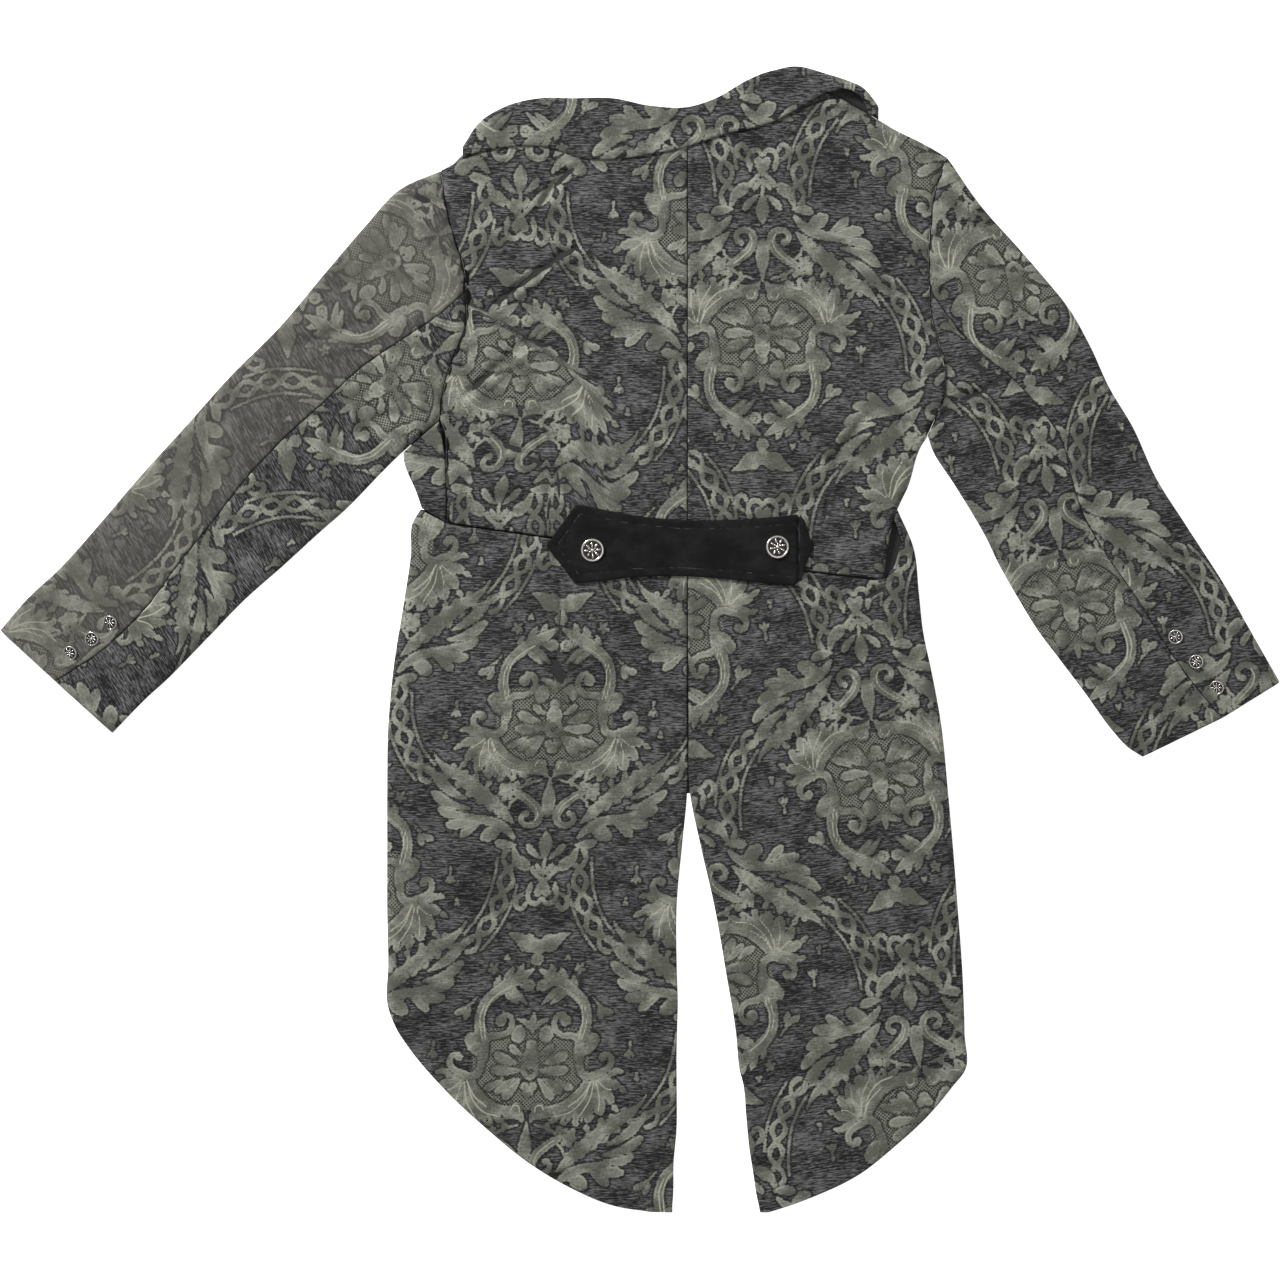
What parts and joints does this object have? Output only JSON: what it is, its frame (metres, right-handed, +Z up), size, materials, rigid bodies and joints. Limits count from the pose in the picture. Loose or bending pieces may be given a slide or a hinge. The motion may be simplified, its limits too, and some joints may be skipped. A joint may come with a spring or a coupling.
{
  "type": "frock coat",
  "caption": "Two-tailed frock coat of figured chenille jacquard, laid flat face down, with a turned-down collar, a buttoned back belt and buttoned cuffs.",
  "frame": {"origin": "on the surface the coat lies on, under the middle of the laid-out coat", "axes": "+X towards the wearer's right arm, +Y from the tails to the collar, +Z up out of the surface, the back uppermost"},
  "size_m": [1.184, 1.0598, 0.018],
  "materials": {
    "coat_cloth": "chenille jacquard, charcoal slubbed ground with a sage grey figure, low sheen",
    "belt_cloth": "matt near-black suede-like cloth, topstitched",
    "button_metal": "polished silver-coloured metal with a darkened relief"
  },
  "bodies": {
    "root": {"back_left": "coat_cloth", "back_right": "coat_cloth", "front_left": "coat_cloth", "front_right": "coat_cloth", "skirt_left": "coat_cloth", "skirt_right": "coat_cloth", "sleeve_left_top": "coat_cloth", "sleeve_left_under": "coat_cloth", "sleeve_right_top": "coat_cloth", "sleeve_right_under": "coat_cloth", "collar": "coat_cloth", "belt": "belt_cloth", "belt_button_left": "button_metal", "belt_button_right": "button_metal", "cuff_button_left_1": "button_metal", "cuff_button_left_2": "button_metal", "cuff_button_left_3": "button_metal", "cuff_button_right_1": "button_metal", "cuff_button_right_2": "button_metal", "cuff_button_right_3": "button_metal"}
  },
  "joints": []
}
